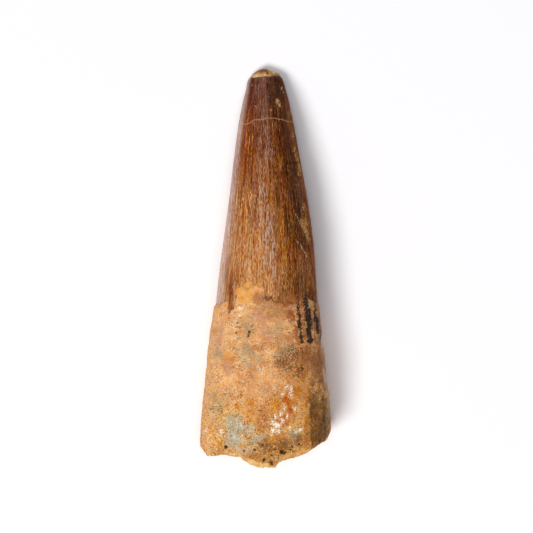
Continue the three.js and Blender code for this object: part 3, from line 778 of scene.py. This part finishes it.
fine_marks = {
    "brown speckle": ("#5e3d22", 9, 0.9, 0.84, [
        (4.5, 73.4, 1.7, 1.5, 0), (5.6, 74.8, 0.9, 0.8, 0), (8.0, 75.8, 0.4, 0.6, 0),
        (4.6, 93.6, 1.8, 1.2, 0), (0.2, 93.8, 1.2, 1.0, 0), (8.0, 92.4, 1.2, 1.2, 0),
        (6.8, 71.6, 0.6, 0.8, 0),
    ]),
    "lime halo": ("#e6bc78", 2.6, 1.0, 0.6, [
        (across, at, wide + 0.2, long + 0.2, lean) for across, at, wide, long, lean in white_crust
    ]),
    "white crust": ("#f4eee0", 2.3, 0.5, 0.92, white_crust),
    "golden spall": ("#dfa962", 1.8, 0.4, 0.9, [
        (9.0, 38.6, 0.5, 0.2, -20), (9.9, 38.8, 0.4, 0.24, 10), (9.3, 39.4, 0.45, 0.2, -15),
        (10.2, 39.6, 0.3, 0.3, 0), (9.6, 40.3, 0.4, 0.34, 0), (10.0, 41.3, 0.26, 0.6, -8),
        (10.4, 42.6, 0.2, 0.9, -8), (9.0, 40.1, 0.22, 0.22, 0),
    ]),
    "flecks along the right edge": ("#d9a050", 1.6, 0.3, 0.85, [
        (7.3, 20.7, 0.3, 0.5, 0), (7.6, 22.1, 0.22, 0.4, 0), (8.0, 23.3, 0.22, 0.4, -10),
        (8.4, 25.2, 0.26, 0.9, -8), (8.2, 27.0, 0.22, 0.3, 0), (6.9, 17.2, 0.14, 0.3, 0),
        (9.5, 35.4, 0.2, 0.6, 0),
    ]),
    "specks near the tip": ("#a39a94", 0.6, 0.2, 0.8, [
        (-2.1, 6.6, 0.14, 0.16, 0), (-0.6, 7.0, 0.12, 0.14, 0), (-2.3, 10.3, 0.14, 0.18, 0),
        (-3.3, 4.3, 0.12, 0.2, 0), (-2.6, 10.0, 0.1, 0.16, 0), (0.9, 7.5, 0.1, 0.14, 0),
    ]),
}
UNDERSIDE_SINK = 8  # millimetres


def lay_marks(colour, marks, *edge_noises):
    """Lays marks over a colour, and sinks them out of sight on the underside. Each is torn at its edge by
    noises, each of which moves it by up to half its raggedness either way."""
    for name, (stain, ragged, soft, share, spots) in marks.items():
        keep_field(name, inside(x, station, spots) - UNDERSIDE_SINK * (1 - upper))
        torn_place = field(name)
        for noise in edge_noises:
            feeds = {0: noise, 1: ragged, 2: torn_place}
            torn_place = add("ShaderNodeMath", feeds, operation="MULTIPLY_ADD")
        middle = ragged * len(edge_noises) / 2
        colour = spread(colour, stain, torn_place, middle - soft / 2, middle + soft / 2, share)
    return colour


# The enamel takes thin orange and dark lines, its marks and pale flecks, more of them towards the root.
# Then its bands, streaks, fibres and hairs deepen or lighten all of these, from coarse to fine.
crown = spread(crown, "#c0641a", clouds(grain_place, 0.2, 9.0, 6), 0.54, 0.66, 0.5)
crown = spread(crown, "#34170a", clouds(grain_place, 0.18, 7.0, 7), 0.55, 0.67, 0.6)
crown = lay_marks(crown, enamel_marks, streaks, hairs)
flecks = clouds(grain_place, 0.14, 1.2, 5)
fleck_height = add("ShaderNodeMath", {0: along, 1: 0.1, 2: flecks}, operation="MULTIPLY_ADD")
crown = spread(crown, "#d3ad80", fleck_height, 0.66, 0.76, 0.5)
for noise, low, high, least, most in (
    (bands, 0.3, 0.7, 1.15, 0.87),
    (streaks, 0.3, 0.7, 1.16, 0.86),
    (fibres, 0.34, 0.66, 1.36, 0.72),
    (hairs, 0.34, 0.66, 1.4, 0.7),
):
    crown = deepen(crown, noise, low, high, least, most)
crown = enrich(crown, clouds(grain_place, 0.2, 2.4, 8), 0.89, 1.12)
crown = lay_marks(crown, glints, hairs, flecks)

# The root takes its own marks. Mottle, grit and sand deepen or lighten it, in full near the break and at
# two fifths of that near the enamel.
enamel_field = field("enamel")
colour = spread(root, crown, enamel_field, -0.15, 0.15)
colour = lay_marks(colour, root_marks, torn, grit)
on_root = add("ShaderNodeMapRange", {"Value": enamel_field, "From Min": 0.1, "From Max": -0.1})
richer = enrich(colour, clouds(place, 1.1, 1.1, 22, 3.0), 0.9, 1.07)
colour = add("ShaderNodeMix", {"Factor": on_root, "A": colour, "B": richer}, data_type="RGBA")
coarser = add("ShaderNodeMapRange", {"Value": along, "From Min": 0.7, "From Max": 0.9, "To Min": 0.4})
on_root = add("ShaderNodeMath", {0: on_root, 1: coarser}, operation="MULTIPLY")
for noise, least, most in ((mottle, 1.25, 0.8), (grit, 1.45, 0.66), (sand, 1.4, 0.72)):
    grainy = deepen(colour, noise, 0.3, 0.7, least, most)
    colour = add("ShaderNodeMix", {"Factor": on_root, "A": colour, "B": grainy}, data_type="RGBA")
colour = lay_marks(colour, top_marks, torn, grit)
colour = lay_marks(colour, fine_marks, grit, sand)

# The hairline crack, filled with pale dust, and the bare dentine of the worn tip and the break, round the
# sandstone in the pulp cavity.
crack_off = add("ShaderNodeMath", {0: field("crack")}, operation="ABSOLUTE")
crack_feeds = {"Value": fibres, "From Min": 0.35, "From Max": 0.65, "To Min": 0.02, "To Max": 0.2}
crack_reach = add("ShaderNodeMapRange", crack_feeds)
crack_share = add("ShaderNodeMath", {0: crack_reach, 1: crack_off}, operation="SUBTRACT")
crack_upper = add("ShaderNodeMath", {0: field("upper"), 1: 0.7}, operation="MULTIPLY")
dusted = spread(colour, "#b98f66", crack_share, -0.1, 0.06)
colour = add("ShaderNodeMix", {"Factor": crack_upper, "A": colour, "B": dusted}, data_type="RGBA")
pale = spread("#d4964a", "#efd09a", torn, 0.4, 0.6)
pale = deepen(pale, grit, 0.3, 0.7, 1.5, 0.65)
bare = add("ShaderNodeMath", {0: field("break"), 1: field("facet")}, operation="ADD")
colour = spread(colour, pale, bare, 0.3, 0.9)
end_marks = {
    "ochre of the tip": ("#c47f3e", 2.4, 0.5, 0.8, [(-0.2, 0.6, 3.4, 1.5, 0)]),
    "brown cap of the tip": ("#82503a", 1.0, 0.3, 0.85, [
        (-0.6, 0.25, 1.7, 0.75, -8), (-2.6, 1.0, 0.5, 0.4, -30), (-1.3, 1.0, 0.6, 0.25, 0),
        (2.6, 1.5, 0.5, 0.25, 20),
    ]),
    "orange of the tip": ("#e2922f", 1.0, 0.3, 0.9, [
        (1.7, 0.8, 0.9, 0.55, 10), (-1.9, 1.3, 0.6, 0.3, -10), (-0.2, 1.4, 0.3, 0.25, 0),
    ]),
    "cream of the tip": ("#f1ddb8", 0.8, 0.2, 0.85, [
        (-2.0, 1.8, 1.1, 0.2, -5), (0.4, 1.7, 0.6, 0.16, 0), (2.1, 1.1, 0.3, 0.16, 0),
        (-0.3, 1.3, 0.2, 0.14, 0), (1.3, 0.6, 0.3, 0.12, 0),
    ]),
    # Painted shade: the hole in the worn tip is painted dark.
    "painted shade in the hole in the tip": ("#3a2112", 0.6, 0.25, 0.9, [
        (0.55, 1.15, 0.26, 0.34, 0), (1.25, 0.95, 0.12, 0.16, 0),
    ]),
    "brown bands of the break": ("#85551f", 8.0, 0.8, 0.6, [
        (-2.2, 96.0, 3.0, 0.7, -15), (5.0, 96.2, 3.0, 0.5, 12), (0.8, 97.6, 0.8, 1.2, 0),
        (2.2, 94.6, 1.8, 0.6, 0),
    ]),
    "ochre rim of the break": ("#edc37c", 2.4, 0.5, 0.8, [
        (-3.6, 98.0, 2.0, 0.6, 20), (6.0, 96.0, 1.8, 0.35, -15), (-0.2, 98.9, 1.0, 0.6, 0),
        (3.4, 97.0, 0.8, 0.4, 0),
    ]),
    "iron of the break": ("#c98a3a", 5.0, 0.8, 0.7, [
        (6.5, 96.5, 2.0, 0.6, -15), (9.8, 96.0, 1.5, 0.6, -15), (-6.0, 97.3, 1.2, 0.4, 10),
        (2.2, 98.8, 0.8, 0.5, 0),
    ]),
    # Painted shade: the holes of the break are painted nearly black.
    "painted shade in the holes of the break": ("#1e1913", 1.2, 0.3, 0.9, [
        (1.5, 98.3, 0.55, 0.6, 0), (-0.4, 97.6, 0.3, 0.3, 0), (4.3, 95.6, 0.6, 0.4, 0),
        (6.0, 94.9, 0.5, 0.25, 20), (3.2, 96.8, 0.2, 0.3, 0), (2.6, 94.6, 0.3, 0.25, 0),
        (7.0, 95.4, 0.3, 0.16, 0),
    ]),
}
colour = lay_marks(colour, end_marks, grit, sand)
stone = deepen("#a08f6e", grit, 0.3, 0.7, 1.6, 0.7)
colour = spread(colour, stone, field("pulp"), -0.02, 0.02)

# Relief too fine for the skin: fibres on the enamel, grains on the dentine, with heights in millimetres.
FIBRE_HEIGHT = 0.03
GRAIN_HEIGHT = 0.09
crown_relief = add("ShaderNodeMath", {0: streaks, 1: 1.6, 2: fibres}, operation="MULTIPLY_ADD")
root_relief = add("ShaderNodeMath", {0: mottle, 1: 2.0, 2: grit}, operation="MULTIPLY_ADD")
crown_height = add("ShaderNodeMath", {0: crown_relief, 1: FIBRE_HEIGHT}, operation="MULTIPLY")
root_height = add("ShaderNodeMath", {0: root_relief, 1: GRAIN_HEIGHT}, operation="MULTIPLY")
on_enamel = add("ShaderNodeMapRange", {"Value": enamel_field, "From Min": -0.2, "From Max": 0.2})
height = add("ShaderNodeMix", {"Factor": on_enamel, "A": root_height, "B": crown_height}, data_type="FLOAT")
bump = add("ShaderNodeBump", {"Strength": 1.0, "Distance": MM, "Height": height})

# The enamel is satin, and duller where its right flank is worn, and the dentine is matt. Both shine little,
# so that the eye takes them for stone.
SATIN_ENAMEL = 0.34
WORN_ENAMEL = 0.66
MATT_DENTINE = 0.75
SHINE = 0.05
wear = add("ShaderNodeMapRange", {
    "Value": round_x, "From Min": 3.0, "From Max": 9.0, "To Min": SATIN_ENAMEL, "To Max": WORN_ENAMEL,
})
roughness = add("ShaderNodeMapRange", {"Value": on_enamel, "To Min": MATT_DENTINE, "To Max": wear})
shader = add("ShaderNodeBsdfPrincipled", {
    "Base Color": colour, "Roughness": roughness, "Normal": bump, "Specular IOR Level": SHINE,
})
add("ShaderNodeOutputMaterial", {"Surface": shader})
tooth_mesh.materials.append(fossil)

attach(tooth, "root")
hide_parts("fossil_tooth")

# The table and the light. The tooth lies on plain white paper in a dim pale room, under a big soft lamp to
# its lower left and a weaker one overhead, and is looked at from straight above through a long lens.
PAPER_SIZE = 6.0
PAPER_WHITE = (0.93, 0.93, 0.93, 1)
PAPER_ROUGHNESS = 0.9
half = PAPER_SIZE / 2
corners = [(-half, -half, 0), (half, -half, 0), (half, half, 0), (-half, half, 0)]
paper_mesh = bpy.data.meshes.new("paper")
paper_mesh.from_pydata(corners, [], [(0, 1, 2, 3)])
paper = bpy.data.objects.new("paper", paper_mesh)
bpy.context.scene.collection.objects.link(paper)

# Uncoated paper: it scatters nearly all light, so the eye sees no sheen, only the tooth's soft shadow.
white = bpy.data.materials.new("white paper")
white.use_nodes = True
paper_inputs = white.node_tree.nodes["Principled BSDF"].inputs
paper_inputs["Base Color"].default_value = PAPER_WHITE
paper_inputs["Roughness"].default_value = PAPER_ROUGHNESS
paper_inputs["Specular IOR Level"].default_value = 0.0
paper_mesh.materials.append(white)

# Oval lamps that face the tooth: width and length in metres, radiance, and the angles in degrees at which
# they stand, from +X and up from the paper. A lamp's power is its radiance times pi times its area.
LAMP_DISTANCE = 3.0
lamps = {
    "big soft lamp": (1.3, 1.1, 19.4, 230.0, 59.0),
    "overhead lamp": (1.5, 1.5, 5.4, 230.0, 90.0),
}
for lamp_name, (width, length, radiance, azimuth, elevation) in lamps.items():
    lamp = bpy.data.lights.new(lamp_name, "AREA")
    lamp.shape = "ELLIPSE"
    lamp.size, lamp.size_y = width, length
    lamp.energy = radiance * np.pi * np.pi * width * length / 4
    lamp_object = bpy.data.objects.new(lamp_name, lamp)
    around, up = np.radians(azimuth), np.radians(elevation)
    aim = np.array((np.cos(around) * np.cos(up), np.sin(around) * np.cos(up), np.sin(up)))
    lamp_object.location = LAMP_DISTANCE * aim
    lamp_object.rotation_mode = "QUATERNION"
    lamp_object.rotation_quaternion = lamp_object.location.to_track_quat("Z", "Y")
    bpy.context.scene.collection.objects.link(lamp_object)

ROOM_LIGHT = (0.13, 0.12, 0.145, 1)
room = bpy.data.worlds.new("dim pale room")
room.use_nodes = True
room.node_tree.nodes["Background"].inputs["Color"].default_value = ROOM_LIGHT
bpy.context.scene.world = room
bpy.context.scene.view_settings.view_transform = "Standard"

LENS = 162.6
SENSOR_WIDTH = 36
CAMERA_PLACE = (0.275 * MM, -0.072 * MM, 613 * MM)
camera = bpy.data.cameras.new("camera")
camera.lens = LENS
camera.sensor_width = SENSOR_WIDTH
camera_object = bpy.data.objects.new("camera", camera)
camera_object.location = CAMERA_PLACE
bpy.context.scene.collection.objects.link(camera_object)
bpy.context.scene.camera = camera_object
